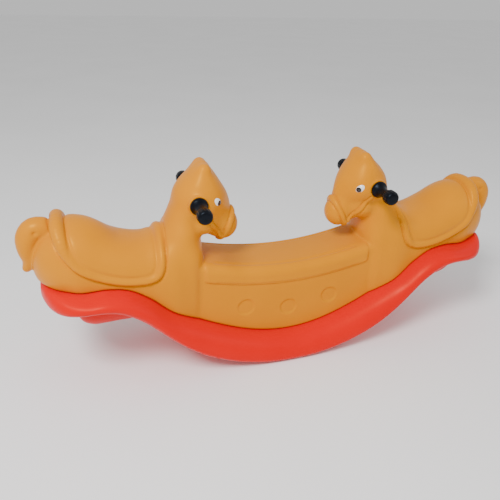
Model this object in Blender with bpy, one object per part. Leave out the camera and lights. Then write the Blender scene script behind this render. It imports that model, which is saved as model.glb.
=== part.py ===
"""Two-seat rocking seesaw for small children, with a horse at each end.

Frame: X along the toy (one horse at each end, facing the middle), Y across it and
along the handles, Z up. The origin is on the floor under the middle of the rocker.

The yellow upper body is one hollow moulding: two horses joined by a deck. The red
rocker base is a second hollow moulding with a curved underside, footrest wings and a
stop keel at each end. Bolts from below hold the two together. A steel tube with two
black grips turns freely in each head.
"""
import math

import bpy
import bmesh
from mathutils import Matrix, Vector

# ---------------------------------------------------------------- driving dimensions
GAP = 0.0003                # clearance between pieces that touch
PIERCE = 0.030              # a cutter runs on this far past the surface it cuts
BODY_WALL = 0.0046          # wall of the yellow moulding
CAVITY_SPARE = 0.0015       # extra inset of a horse's hollow, which swells as it is smoothed
BASE_WALL = 0.0044          # wall of the red moulding
BASE_END_WALL = 0.020       # it is thicker at the tips of its wings

# The joint line between the yellow body and the red base, as (distance from middle, z).
JOINT_LINE = ((0.0, 0.070), (0.10, 0.083), (0.20, 0.119), (0.28, 0.160), (0.35, 0.207),
              (0.40, 0.252), (0.45, 0.284), (0.50, 0.293), (0.56, 0.289), (0.61, 0.292),
              (0.66, 0.305))
# The underside of the base: a narrow flat land, an arc that rolls, then a wing line.
ROLL_LAND = 0.018
ROLL_RADIUS = 0.49
ROLL_END = 0.26             # the arc ends here, and the wing line takes over
WING_LINE = ((0.26, 0.0639), (0.32, 0.108), (0.38, 0.160), (0.43, 0.204), (0.48, 0.236),
             (0.53, 0.247), (0.58, 0.242), (0.62, 0.238), (0.65, 0.241), (0.68, 0.252))
BASE_HALF_LENGTH = 0.670
BASE_HALF_WIDTH = 0.158
BASE_TAPER_START = 0.48     # the wings draw in towards their round ends from here
BASE_TAPER_END = 0.674      # they would close to a point here, just past their ends
BASE_TAPER_POWER = 3.1
BASE_END_ROUND = 0.042      # over this length the end of a wing rounds off in height too
SEAT_HALF_WIDTH = 0.095     # flat top of the base, under the yellow body
BULGE_LEVEL = (0.24, 0.46)  # height of the widest line, as a share, in the middle and on the wings
FOOT_RADIUS = (0.024, 0.038)    # how far the underside rounds in, in the middle and on the wings
SEAT_SHARE = 0.72           # and never more than this share of a narrow end's width
FOOT_SHARE = (0.40, 0.80)   # least and most share of the width that lies flat underneath
UPPER_ROUND = (0.42, 0.90, math.pi / 2)     # angles of the points on the two quarter rounds
LOWER_ROUND = (0.55, 1.05, math.pi / 2)
END_SQUEEZE = 0.8           # the tips are this much thinner, as a share of the thickness squared
WING_BLEND = (0.30, 0.42)   # the middle section changes to the wing section between these
BASE_STATIONS = 20          # sections of the base, each side of the land
STATION_CROWDING = 0.08     # they stand a little closer together towards the ends

# Stop keel under each wing: (distance from middle, lowest z, half width).
KEEL = ((0.392, 0.186, 0.030), (0.412, 0.166, 0.046), (0.440, 0.150, 0.056),
        (0.480, 0.146, 0.060), (0.520, 0.144, 0.061), (0.552, 0.146, 0.057),
        (0.578, 0.162, 0.047), (0.596, 0.200, 0.028))
KEEL_BELOW_JOINT = 0.012    # its buried top lies this far under the joint line
KEEL_SIDES = 8
KEEL_POWERS = (0.8, 0.6)    # squareness of its sections across and down

DECK_HALF_WIDTH = 0.090
DECK_REACH = 0.30
DECK_TOP_MIDDLE = 0.290
DECK_TOP_RISE = 0.55        # the deck top rises with the square of the distance
DECK_STATIONS = 17
# Rounded edge of the deck: (in from the side, down from the top).
DECK_EDGE = ((0.045, 0.0), (0.020, 0.003), (0.006, 0.012), (0.0, 0.026))
LIP_DROP = 0.052            # from the deck top down to the groove under its lip
LIP_STEP = 0.004            # the panel below the lip stands in by this much
LIP_CHAMFER = (0.004, 0.002)
DECK_BELOW_JOINT = 0.03
DIMPLE_RADIUS = 0.0265
DIMPLE_DEPTH = 0.0025
DIMPLES = ((-0.130, 0.167), (0.0, 0.147), (0.130, 0.167))

# Torso of a horse: (distance from middle, top z, half width).
TORSO = ((0.236, 0.330, 0.060), (0.250, 0.370, 0.084), (0.280, 0.396, 0.099),
         (0.320, 0.407, 0.105), (0.360, 0.403, 0.107), (0.400, 0.392, 0.107),
         (0.450, 0.398, 0.106), (0.500, 0.421, 0.104), (0.550, 0.446, 0.099),
         (0.590, 0.458, 0.092), (0.620, 0.450, 0.082), (0.648, 0.428, 0.066),
         (0.666, 0.392, 0.045), (0.677, 0.356, 0.020))
TORSO_BELOW_JOINT = 0.035
TORSO_CREST_POWER = 2.3     # the back is nearly round, and the flanks are squarer
TORSO_FLANK_POWER = 4.0
TORSO_SIDES = 28
NECK_SIDES = 24
TAIL_SIDES = 16
THINNEST_HALF = 0.008       # no inset section gets thinner than this

# Neck: (distance from middle, z, half depth, half width) of level sections.
NECK = ((0.312, 0.300, 0.066, 0.096), (0.306, 0.350, 0.062, 0.092),
        (0.298, 0.400, 0.055, 0.081), (0.289, 0.440, 0.048, 0.068),
        (0.275, 0.480, 0.045, 0.064), (0.260, 0.520, 0.038, 0.056))
# Round lumps of the head: (distance, y, z), (half sizes).
CRANIUM = ((0.243, 0.0, 0.489), (0.072, 0.0815, 0.064))
CROWN = ((0.2356, 0.0, 0.531), (0.037, 0.058, 0.0515))
JAW = ((0.214, 0.0, 0.441), (0.059, 0.042, 0.064))
MUZZLE = ((0.1776, 0.0, 0.4035), (0.0435, 0.0435, 0.046))
CREST = ((0.234, 0.0, 0.565), (0.0180, 0.0530, 0.0240))
EAR_ROOT = ((0.244, 0.034, 0.550), (0.0250, 0.0220, 0.0290))
# Tail: (distance, z, half thickness, half width) along its curve.
TAIL = ((0.610, 0.414, 0.024, 0.026), (0.640, 0.439, 0.027, 0.028),
        (0.664, 0.438, 0.031, 0.031), (0.681, 0.413, 0.031, 0.031),
        (0.684, 0.381, 0.027, 0.028), (0.683, 0.354, 0.021, 0.022),
        (0.698, 0.331, 0.009, 0.012))

# Saddle: a raised pad inside this side outline, (distance, z).
SADDLE = ((0.346, 0.500), (0.347, 0.440), (0.350, 0.375), (0.355, 0.338), (0.370, 0.311),
          (0.395, 0.300), (0.430, 0.299), (0.470, 0.305), (0.510, 0.318), (0.545, 0.335),
          (0.575, 0.358), (0.600, 0.392), (0.615, 0.430), (0.624, 0.475), (0.625, 0.500))
SADDLE_RISE = 0.007
SADDLE_TRIM = 0.2           # half width of the trimming form, wider than the toy

HANDLE_AT = (0.258, 0.491)  # distance from middle, z of the handle's axis
TUBE_RADIUS = 0.010
TUBE_BORE = 0.008
TUBE_HALF_LENGTH = 0.145
BOSS_RADIUS = 0.026
BOSS_HALF_WIDTH = 0.0785    # flat cheeks that the grips' flanges face
TUBE_SPARE = 0.002          # a grip's blind bore is deeper than its tube by this much
KNOB_RADIUS = 0.0202
GRIP_LENGTH = 0.083
# Outside of a grip from its flange to its knob: (radius, distance from the flange's face).
GRIP_PROFILE = ((0.0222, 0.0), (0.0240, 0.0025), (0.0236, 0.0070), (0.0205, 0.0120),
                (0.0160, 0.0200), (0.0142, 0.0300), (0.0148, 0.0370), (0.0180, 0.0420),
                (KNOB_RADIUS, 0.0480), (KNOB_RADIUS, 0.0700), (0.0180, 0.0780),
                (0.0120, 0.0820), (0.0050, GRIP_LENGTH))
GRIP_RIBS = 8
RIB_DEPTH = 0.0011

EYE_AT = (0.205, 0.0685, 0.493)
EYE_FACING = (-0.40, 0.90, 0.10)
EYE_SLANT = 42              # degrees by which an eye's long axis drops towards the nose
EYE_SIZE = (0.0140, 0.0094, 0.0035)     # half length, half width, half thickness
PUPIL_SIZE = (0.0066, 0.0068, 0.0018)
PUPIL_SHIFT = (0.0056, 0.0, 0.0022)
PUPIL_LEAN = 6              # degrees by which a pupil leans to follow the eye's surface

BOLTS = ((0.0, -0.045), (0.0, 0.045), (0.495, 0.0), (0.565, 0.0), (-0.495, 0.0), (-0.565, 0.0))
POCKET_RADIUS = 0.0145
BOLT_RADIUS = 0.0040
BOLT_HEAD = 0.0065          # half width across flats
BOLT_HEAD_HEIGHT = 0.0053
BOLT_LENGTH = 0.020
WASHER_RADIUS = 0.0105
WASHER_THICKNESS = 0.0016
INSERT_RADIUS = 0.0075
INSERT_LENGTH = 0.015
INSERT_LIFT = 0.003         # the inserts stop short of the joint line
INSERT_BOSS_RADIUS = 0.014
VENT_RADIUS = 0.004
BODY_VENT_AT = 0.25         # distance of the body's vents and of the base's drains from the middle
BASE_DRAIN_AT = 0.32
ROOM_BELOW = (0.75, 0.25, 0.10)     # reach, half width and depth of the form under the joint line
POCKET_REACH = 0.40         # a bolt pocket's cutter runs this far down

HORSE_VOXEL = 0.0075
HORSE_SMOOTHING = 7
HORSE_RATIO = 0.042
CAVITY_VOXEL = 0.011
CAVITY_SMOOTHING = 3
CAVITY_RATIO = 0.05

YELLOW = (0.96, 0.40, 0.025)
RED = (0.80, 0.030, 0.022)
BLACK = (0.012, 0.012, 0.014)
WHITE = (0.85, 0.85, 0.83)
STEEL = (0.62, 0.63, 0.65)


# ---------------------------------------------------------------- small tools
def clear_scene():
    for found in list(bpy.data.objects):
        bpy.data.objects.remove(found)


def make_material(name, colour, roughness, metallic=0.0):
    material = bpy.data.materials.new(name)
    material.use_nodes = True
    shader = material.node_tree.nodes["Principled BSDF"]
    shader.inputs["Base Color"].default_value = (*colour, 1.0)
    shader.inputs["Roughness"].default_value = roughness
    shader.inputs["Metallic"].default_value = metallic
    return material


def curve_at(points, t):
    """Read a smooth curve through (t, value) points, with no overshoot at the ends."""
    if t <= points[0][0]:
        return points[0][1]
    if t >= points[-1][0]:
        return points[-1][1]
    slopes = []
    for i in range(len(points)):
        low = points[max(i - 1, 0)]
        high = points[min(i + 1, len(points) - 1)]
        slopes.append((high[1] - low[1]) / (high[0] - low[0]))
    for i in range(len(points) - 1):
        t0, v0 = points[i]
        t1, v1 = points[i + 1]
        if t <= t1:
            span = t1 - t0
            s = (t - t0) / span
            smooth = s * s * (3 - 2 * s)
            ease_in = s * (1 - s) * (1 - s) * span * slopes[i]
            ease_out = s * s * (s - 1) * span * slopes[i + 1]
            return v0 + (v1 - v0) * smooth + ease_in + ease_out
    return points[-1][1]


def joint_z(x):
    """Height of the line where the yellow body meets the red base."""
    return curve_at(((-JOINT_LINE[1][0], JOINT_LINE[1][1]),) + JOINT_LINE, abs(x))


def underside_z(x):
    """Height of the underside of the base."""
    reach = abs(x)
    if reach <= ROLL_LAND:
        return 0.0
    if reach <= ROLL_END:
        return ROLL_RADIUS - math.sqrt(ROLL_RADIUS ** 2 - (reach - ROLL_LAND) ** 2)
    return curve_at(WING_LINE, reach)


def deck_top_z(x):
    return DECK_TOP_MIDDLE + DECK_TOP_RISE * x * x


def loft(rings, closed=False):
    """A mesh through rings of equal point counts, with end caps unless it closes."""
    mesh = bmesh.new()
    loops = [[mesh.verts.new(point) for point in ring] for ring in rings]
    pairs = list(zip(loops, loops[1:]))
    if closed:
        pairs.append((loops[-1], loops[0]))
    for near, far in pairs:
        count = len(near)
        for i in range(count):
            j = (i + 1) % count
            mesh.faces.new((near[i], near[j], far[j], far[i]))
    if not closed:
        mesh.faces.new(loops[0])
        mesh.faces.new(loops[-1])
    bmesh.ops.recalc_face_normals(mesh, faces=mesh.faces)
    return mesh


def add_object(name, mesh, material=None, place=None, smooth_angle=None):
    """Turn a bmesh into a named object."""
    data = bpy.data.meshes.new(name)
    mesh.to_mesh(data)
    mesh.free()
    thing = bpy.data.objects.new(name, data)
    bpy.context.collection.objects.link(thing)
    if place is not None:
        thing.matrix_world = place
    if material is not None:
        data.materials.append(material)
    if smooth_angle is not None:
        data.shade_smooth()
        data.set_sharp_from_angle(angle=math.radians(smooth_angle))
    return thing


def as_guide(thing):
    thing.hide_render = True
    thing.display_type = 'WIRE'
    return thing


def combine(target, other, operation):
    modifier = target.modifiers.new(other.name, 'BOOLEAN')
    modifier.operation = operation
    modifier.solver = 'EXACT'
    modifier.object = other


def join_meshes(meshes):
    """Put several bmeshes into one, still as overlapping bodies."""
    total = bmesh.new()
    for mesh in meshes:
        data = bpy.data.meshes.new("piece")
        mesh.to_mesh(data)
        mesh.free()
        total.from_mesh(data)
        bpy.data.meshes.remove(data)
    return total


def melt(thing, voxel, smoothing, ratio):
    """Blend overlapping bodies into one smooth skin."""
    remesh = thing.modifiers.new("melt", 'REMESH')
    remesh.mode = 'VOXEL'
    remesh.voxel_size = voxel
    remesh.use_smooth_shade = True
    smooth = thing.modifiers.new("smooth", 'SMOOTH')
    smooth.factor = 0.5
    smooth.iterations = smoothing
    thin = thing.modifiers.new("thin", 'DECIMATE')
    thin.ratio = ratio


def turned(profile, segments, radius_at=None):
    """A lathe form about Z through (radius, z) points; radius_at adds ribs."""
    rings = []
    for radius, z in profile:
        ring = []
        for i in range(segments):
            angle = 2 * math.pi * i / segments
            r = radius if radius_at is None else radius_at(radius, z, angle)
            ring.append((r * math.cos(angle), r * math.sin(angle), z))
        rings.append(ring)
    return rings


def rounded_lump(centre, half_sizes, segments=28, rings=16):
    mesh = bmesh.new()
    place = Matrix.Translation(centre) @ Matrix.Diagonal((*half_sizes, 1.0))
    bmesh.ops.create_uvsphere(mesh, u_segments=segments, v_segments=rings, radius=1.0, matrix=place)
    return mesh


def along_y(x, z, y=0.0, sign=1):
    """Placement that turns a form's +Z to +Y or -Y."""
    return Matrix.Translation((x, y, z)) @ Matrix.Rotation(-sign * math.pi / 2, 4, 'X')


# ---------------------------------------------------------------- horse forms
def torso_mesh(inset, grow=0.0):
    """Barrel of the horse, from chest to rump."""
    rings = []
    change = grow - inset
    last = len(TORSO) - 1
    for i, (x, top, width) in enumerate(TORSO):
        reach = x + (inset if i == 0 else -inset if i == last else 0.0)
        high = top + change
        low = joint_z(x) - TORSO_BELOW_JOINT
        half_width = max(width + change, THINNEST_HALF)
        middle = (high + low) / 2
        half_height = (high - low) / 2
        ring = []
        for k in range(TORSO_SIDES):
            angle = 2 * math.pi * k / TORSO_SIDES
            across = math.cos(angle)
            up = math.sin(angle)
            power = 2 / (TORSO_CREST_POWER if up > 0 else TORSO_FLANK_POWER)
            y = half_width * math.copysign(abs(across) ** power, across)
            z = middle + half_height * math.copysign(abs(up) ** power, up)
            ring.append((reach, y, z))
        rings.append(ring)
    return loft(rings)


def neck_mesh(inset):
    rings = []
    for x, z, depth, width in NECK:
        ring = []
        for k in range(NECK_SIDES):
            angle = 2 * math.pi * k / NECK_SIDES
            ring.append((x + (depth - inset) * math.cos(angle),
                         (width - inset) * math.sin(angle), z))
        rings.append(ring)
    return loft(rings)


def tail_mesh():
    rings = []
    for i, (x, z, thick, width) in enumerate(TAIL):
        before = TAIL[max(i - 1, 0)]
        after = TAIL[min(i + 1, len(TAIL) - 1)]
        along = Vector((after[0] - before[0], 0.0, after[1] - before[1])).normalized()
        out = Vector((along.z, 0.0, -along.x))
        ring = []
        for k in range(TAIL_SIDES):
            angle = 2 * math.pi * k / TAIL_SIDES
            point = Vector((x, 0, z)) + out * (thick * math.cos(angle))
            ring.append(point + Vector((0, width * math.sin(angle), 0)))
        rings.append(ring)
    return loft(rings)


def shrunk(lump, inset):
    centre, sizes = lump
    return rounded_lump(centre, [size - inset for size in sizes])


def horse_form(name, turn):
    """Outer skin of one horse as a guide body."""
    pieces = [torso_mesh(0.0), neck_mesh(0.0), tail_mesh()]
    pieces += [shrunk(lump, 0.0) for lump in (CRANIUM, CROWN, JAW, MUZZLE, CREST, EAR_ROOT)]
    (x, y, z), sizes = EAR_ROOT
    pieces.append(rounded_lump((x, -y, z), sizes))
    form = add_object(name, join_meshes(pieces), place=turn)
    melt(form, HORSE_VOXEL, HORSE_SMOOTHING, HORSE_RATIO)
    return as_guide(form)


def horse_cavity(name, turn):
    """Hollow inside one horse."""
    inset = BODY_WALL + CAVITY_SPARE
    pieces = [torso_mesh(inset), neck_mesh(inset)]
    pieces += [shrunk(lump, inset) for lump in (CRANIUM, CROWN, JAW, MUZZLE)]
    form = add_object(name, join_meshes(pieces), place=turn)
    melt(form, CAVITY_VOXEL, CAVITY_SMOOTHING, CAVITY_RATIO)
    return as_guide(form)


def saddle_form(name, turn):
    """Pad that follows the barrel, trimmed to the saddle's side outline."""
    pad = add_object(name, torso_mesh(0.0, grow=SADDLE_RISE), place=turn)
    outline = bmesh.new()
    near = [outline.verts.new((x, -SADDLE_TRIM, z)) for x, z in SADDLE]
    far = [outline.verts.new((x, SADDLE_TRIM, z)) for x, z in SADDLE]
    count = len(SADDLE)
    for i in range(count):
        j = (i + 1) % count
        outline.faces.new((near[i], near[j], far[j], far[i]))
    outline.faces.new(near)
    outline.faces.new(far)
    bmesh.ops.recalc_face_normals(outline, faces=outline.faces)
    trim = as_guide(add_object(name + "_trim", outline, place=turn))
    combine(pad, trim, 'INTERSECT')
    return as_guide(pad)


# ---------------------------------------------------------------- deck and body
def base_places(reach):
    """Where the base's sections stand along X; the joint line bends only at these."""
    run = reach - ROLL_LAND
    right = []
    for i in range(BASE_STATIONS + 1):
        t = i / BASE_STATIONS
        right.append(ROLL_LAND + run * (t + STATION_CROWDING * math.sin(math.pi * t)))
    return [-x for x in reversed(right)] + right


def deck_mesh(inset):
    """Deck between the horses: a lip along the top, a flat panel below it."""
    rings = []
    reach = DECK_REACH - inset
    for i in range(DECK_STATIONS):
        x = -reach + 2 * reach * i / (DECK_STATIONS - 1)
        top = deck_top_z(x) - inset
        side = DECK_HALF_WIDTH - inset
        panel = side - LIP_STEP
        groove = deck_top_z(x) - LIP_DROP
        half = [(side - across, top - down) for across, down in DECK_EDGE]
        half += [(side, groove + LIP_CHAMFER[0]), (panel, groove - LIP_CHAMFER[1]),
                 (panel, joint_z(x) - DECK_BELOW_JOINT)]
        ring = [(x, y, z) for y, z in half]
        ring += [(x, -y, z) for y, z in reversed(half)]
        rings.append(ring)
    return loft(rings)


def below_joint(name, lift):
    """Everything under the joint line, raised by lift."""
    reach, half_width, depth = ROOM_BELOW
    places = [-reach] + base_places(BASE_HALF_LENGTH) + [reach]
    outline = [(x, joint_z(x) + lift) for x in places] + [(reach, -depth), (-reach, -depth)]
    mesh = bmesh.new()
    near = [mesh.verts.new((x, -half_width, z)) for x, z in outline]
    far = [mesh.verts.new((x, half_width, z)) for x, z in outline]
    count = len(outline)
    for i in range(count):
        j = (i + 1) % count
        mesh.faces.new((near[i], near[j], far[j], far[i]))
    mesh.faces.new(near)
    mesh.faces.new(far)
    bmesh.ops.recalc_face_normals(mesh, faces=mesh.faces)
    return as_guide(add_object(name, mesh))


def cylinder_guide(name, radius, low, high, place, segments=24):
    mesh = loft(turned([(radius, low), (radius, high)], segments))
    return as_guide(add_object(name, mesh, place=place))


def bolt_places():
    for number, (x, y) in enumerate(BOLTS, start=1):
        yield number, Matrix.Translation((x, y, joint_z(x)))


def body_cavity():
    cavity = add_object("body_cavity", deck_mesh(BODY_WALL))
    for side, turn in SIDES.items():
        combine(cavity, horse_cavity("cavity_" + side, turn), 'UNION')
    combine(cavity, below_joint("cavity_floor", BODY_WALL), 'DIFFERENCE')
    for number, place in bolt_places():
        boss = cylinder_guide(f"insert_boss_{number}", INSERT_BOSS_RADIUS, -PIERCE,
                              INSERT_LENGTH + BODY_WALL, place, 20)
        combine(cavity, boss, 'DIFFERENCE')
    return as_guide(cavity)


def eye_frame(side, y_side):
    """Placement of an eye: its Z points out of the cheek, its X down towards the nose."""
    out = Vector((EYE_FACING[0], y_side * EYE_FACING[1], EYE_FACING[2])).normalized()
    up = Vector((0, 0, 1))
    forward = up.cross(out).normalized() * y_side
    true_up = out.cross(forward).normalized() * y_side
    turn = Matrix((forward, true_up, out)).transposed().to_4x4()
    place = Matrix.Translation((EYE_AT[0], y_side * EYE_AT[1], EYE_AT[2]))
    return SIDES[side] @ place @ turn @ Matrix.Rotation(-math.radians(EYE_SLANT), 4, 'Z')


def upper_body(material):
    """The yellow moulding."""
    body = add_object("upper_body", deck_mesh(0.0), material)
    for side, turn in SIDES.items():
        combine(body, horse_form("horse_" + side, turn), 'UNION')
        combine(body, saddle_form("saddle_" + side, turn), 'UNION')
        x, z = HANDLE_AT
        boss = cylinder_guide("cheek_" + side, BOSS_RADIUS, -BOSS_HALF_WIDTH, BOSS_HALF_WIDTH,
                              turn @ along_y(x, z), 32)
        combine(body, boss, 'UNION')
        for y_side in (-1, 1):
            place = turn @ along_y(x, z, y_side * BOSS_HALF_WIDTH, y_side)
            room = cylinder_guide(f"flange_room_{side}_{y_side}", BOSS_RADIUS, 0.0, PIERCE, place, 32)
            combine(body, room, 'DIFFERENCE')
    combine(body, below_joint("body_floor", GAP), 'DIFFERENCE')
    combine(body, body_cavity(), 'DIFFERENCE')
    for side, turn in SIDES.items():
        x, z = HANDLE_AT
        reach = BOSS_HALF_WIDTH + PIERCE
        bore = cylinder_guide("bore_" + side, TUBE_RADIUS + GAP, -reach, reach, turn @ along_y(x, z), 24)
        combine(body, bore, 'DIFFERENCE')
        for y_side, hand in EYE_SIDES.items():
            socket = rounded_lump((0, 0, 0), [size + GAP for size in EYE_SIZE], 14, 8)
            name = f"socket_{side}_{hand}"
            combine(body, as_guide(add_object(name, socket, place=eye_frame(side, y_side))), 'DIFFERENCE')
    for number, place in bolt_places():
        hole = cylinder_guide(f"insert_hole_{number}", INSERT_RADIUS + GAP, -PIERCE, INSERT_LENGTH, place, 20)
        combine(body, hole, 'DIFFERENCE')
    floor_of_dimple = DECK_HALF_WIDTH - LIP_STEP - DIMPLE_DEPTH
    for number, (x, z) in enumerate(DIMPLES):
        for y_side in (-1, 1):
            dimple = cylinder_guide(f"dimple_{number}_{y_side}", DIMPLE_RADIUS, 0.0, PIERCE,
                                    along_y(x, z, y_side * floor_of_dimple, y_side), 28)
            combine(body, dimple, 'DIFFERENCE')
    for x in (-BODY_VENT_AT, BODY_VENT_AT):
        place = Matrix.Translation((x, 0, joint_z(x)))
        vent = cylinder_guide(f"vent_{x}", VENT_RADIUS, -PIERCE, PIERCE, place, 12)
        combine(body, vent, 'DIFFERENCE')
    return body


# ---------------------------------------------------------------- rocker base
def base_half_width(x, inset):
    reach = max(abs(x) - BASE_TAPER_START, 0.0) / (BASE_TAPER_END - BASE_TAPER_START)
    return BASE_HALF_WIDTH * math.sqrt(max(1 - reach ** BASE_TAPER_POWER, 0.0)) - inset


def wing_share(x):
    """0 in the middle of the base, 1 on the wings."""
    share = min(max((abs(x) - WING_BLEND[0]) / (WING_BLEND[1] - WING_BLEND[0]), 0.0), 1.0)
    return share * share * (3 - 2 * share)


def base_section(x, inset):
    """Flat seat, a quarter round out to the widest line, and a quarter round in to the underside."""
    wing = wing_share(x)
    top = joint_z(x) - GAP
    low = underside_z(x)
    level = low + (top - low) * (BULGE_LEVEL[0] + (BULGE_LEVEL[1] - BULGE_LEVEL[0]) * wing)
    over = max(abs(x) - BASE_HALF_LENGTH + BASE_END_ROUND, 0.0) / BASE_END_ROUND
    squeeze = math.sqrt(1 - END_SQUEEZE * min(over, 1.0) ** 2)
    top = level + (top - level) * squeeze - inset
    low = level - (level - low) * squeeze + inset
    width = max(base_half_width(x, inset), THINNEST_HALF)
    shoulder = min(SEAT_HALF_WIDTH - inset, width * SEAT_SHARE)
    foot_radius = FOOT_RADIUS[0] + (FOOT_RADIUS[1] - FOOT_RADIUS[0]) * wing
    foot = min(max(width - foot_radius + inset, width * FOOT_SHARE[0]), width * FOOT_SHARE[1])
    half = [(shoulder, top)]
    for angle in UPPER_ROUND:
        half.append((shoulder + (width - shoulder) * math.sin(angle), level + (top - level) * math.cos(angle)))
    for angle in LOWER_ROUND:
        half.append((foot + (width - foot) * math.cos(angle), level - (level - low) * math.sin(angle)))
    ring = [(x, y, z) for y, z in half]
    ring += [(x, -y, z) for y, z in reversed(half)]
    return ring


def base_mesh(inset):
    end_wall = BASE_END_WALL if inset else 0.0
    return loft([base_section(x, inset) for x in base_places(BASE_HALF_LENGTH - end_wall)])


def keel_mesh(inset):
    rings = []
    last = len(KEEL) - 1
    for i, (x, low, width) in enumerate(KEEL):
        reach = x + (inset if i == 0 else -inset if i == last else 0.0)
        top = joint_z(x) - KEEL_BELOW_JOINT
        bottom = low + inset
        half_width = width - inset
        ring = [(reach, half_width, top), (reach, -half_width, top)]
        for k in range(1, KEEL_SIDES):
            angle = math.pi * k / KEEL_SIDES
            y = -half_width * math.copysign(abs(math.cos(angle)) ** KEEL_POWERS[0], math.cos(angle))
            z = top - (top - bottom) * math.sin(angle) ** KEEL_POWERS[1]
            ring.append((reach, y, z))
        rings.append(ring)
    return loft(rings)


def base_cavity():
    cavity = add_object("base_cavity", base_mesh(BASE_WALL))
    for side, turn in SIDES.items():
        keel = keel_mesh(BASE_WALL)
        combine(cavity, as_guide(add_object("keel_cavity_" + side, keel, place=turn)), 'UNION')
    for number, place in bolt_places():
        sleeve = cylinder_guide(f"sleeve_{number}", POCKET_RADIUS + BASE_WALL, -POCKET_REACH, PIERCE, place, 20)
        combine(cavity, sleeve, 'DIFFERENCE')
    return as_guide(cavity)


def rocker_base(material):
    """The red moulding."""
    base = add_object("rocker_base", base_mesh(0.0), material)
    for side, turn in SIDES.items():
        keel = as_guide(add_object("keel_" + side, keel_mesh(0.0), place=turn))
        combine(base, keel, 'UNION')
    combine(base, base_cavity(), 'DIFFERENCE')
    for number, place in bolt_places():
        pocket = cylinder_guide(f"pocket_{number}", POCKET_RADIUS, -POCKET_REACH, -BASE_WALL - GAP, place, 20)
        combine(base, pocket, 'DIFFERENCE')
        hole = cylinder_guide(f"bolt_hole_{number}", BOLT_RADIUS + GAP, -PIERCE, PIERCE, place, 16)
        combine(base, hole, 'DIFFERENCE')
    for x in (-BASE_DRAIN_AT, BASE_DRAIN_AT):
        place = Matrix.Translation((x, 0, underside_z(x)))
        drain = cylinder_guide(f"drain_{x}", VENT_RADIUS, -PIERCE, PIERCE, place, 12)
        combine(base, drain, 'DIFFERENCE')
    return base


# ---------------------------------------------------------------- handles, eyes, bolts
def grip_mesh():
    """Flange, waist and ribbed knob, with a blind bore; z = 0 is the flange's face."""
    bore = TUBE_RADIUS + GAP
    depth = TUBE_HALF_LENGTH - BOSS_HALF_WIDTH + TUBE_SPARE
    profile = ((bore / 2, depth), (bore, depth), (bore, 0.0)) + GRIP_PROFILE

    def ribbed(radius, z, angle):
        if radius < KNOB_RADIUS:
            return radius
        return radius - RIB_DEPTH * (0.5 - 0.5 * math.cos(GRIP_RIBS * angle))

    return loft(turned(profile, 24, ribbed))


def tube_mesh():
    ends = (-TUBE_HALF_LENGTH, TUBE_HALF_LENGTH)
    outer = turned([(TUBE_RADIUS, z) for z in ends], 24)
    inner = turned([(TUBE_BORE, z) for z in reversed(ends)], 24)
    return loft(outer + inner, closed=True)


def handles(steel, black):
    x, z = HANDLE_AT
    for side, turn in SIDES.items():
        axis = bpy.data.objects.new(f"handle_axis_{side}", None)
        bpy.context.collection.objects.link(axis)
        axis.matrix_world = turn @ Matrix.Translation((x, 0, z))
        tube = add_object(f"handle_tube_{side}", tube_mesh(), steel, smooth_angle=40)
        tube.parent = axis
        tube.rotation_euler = (math.pi / 2, 0, 0)
        for y_side, hand in EYE_SIDES.items():
            grip = add_object(f"grip_{side}_{hand}", grip_mesh(), black, smooth_angle=40)
            grip.parent = axis
            grip.location = (0, y_side * (BOSS_HALF_WIDTH + GAP), 0)
            grip.rotation_euler = (-y_side * math.pi / 2, 0, 0)


def eyes(white, black):
    for side in SIDES:
        for y_side, hand in EYE_SIDES.items():
            place = eye_frame(side, y_side)
            lean = Matrix.Rotation(math.radians(PUPIL_LEAN), 4, 'Y')
            shift = Matrix.Translation(PUPIL_SHIFT) @ lean
            eye = add_object(f"eye_{side}_{hand}", rounded_lump((0, 0, 0), EYE_SIZE, 14, 8), white,
                             place, 60)
            cut = rounded_lump((0, 0, 0), [size + GAP for size in PUPIL_SIZE], 12, 6)
            combine(eye, as_guide(add_object(f"pupil_socket_{side}_{hand}", cut, place=place @ shift)),
                    'DIFFERENCE')
            add_object(f"pupil_{side}_{hand}", rounded_lump((0, 0, 0), PUPIL_SIZE, 12, 6), black,
                       place @ shift, 60)


def hex_radius(radius, z, angle):
    """Distance from the axis to a hexagon of this half width across flats."""
    facet = (angle + math.pi / 6) % (math.pi / 3) - math.pi / 6
    return radius / math.cos(facet)


def fasteners(steel, zinc):
    under = -BASE_WALL - 2 * GAP - WASHER_THICKNESS
    for number, place in bolt_places():
        washer = loft(turned([(WASHER_RADIUS, 0), (WASHER_RADIUS, WASHER_THICKNESS)], 16)
                      + turned([(BOLT_RADIUS + GAP, WASHER_THICKNESS), (BOLT_RADIUS + GAP, 0)], 16),
                      closed=True)
        add_object(f"washer_{number}", washer, zinc, place @ Matrix.Translation((0, 0, under)), 40)
        head = turned([(BOLT_HEAD, -BOLT_HEAD_HEIGHT - GAP), (BOLT_HEAD, -GAP)], 12, hex_radius)
        shank = turned([(BOLT_RADIUS, -GAP), (BOLT_RADIUS, BOLT_LENGTH)], 12)
        add_object(f"bolt_{number}", loft(head + shank), zinc, place @ Matrix.Translation((0, 0, under)), 40)
        wall = BOLT_RADIUS + GAP
        insert = loft(turned([(INSERT_RADIUS, INSERT_LIFT), (INSERT_RADIUS, INSERT_LENGTH - GAP)], 16)
                      + turned([(wall, INSERT_LENGTH - GAP), (wall, INSERT_LIFT)], 16), closed=True)
        add_object(f"threaded_insert_{number}", insert, steel, place, 40)


SIDES = {"right": Matrix.Identity(4), "left": Matrix.Rotation(math.pi, 4, 'Z')}
EYE_SIDES = {-1: "nearside", 1: "offside"}


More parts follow.
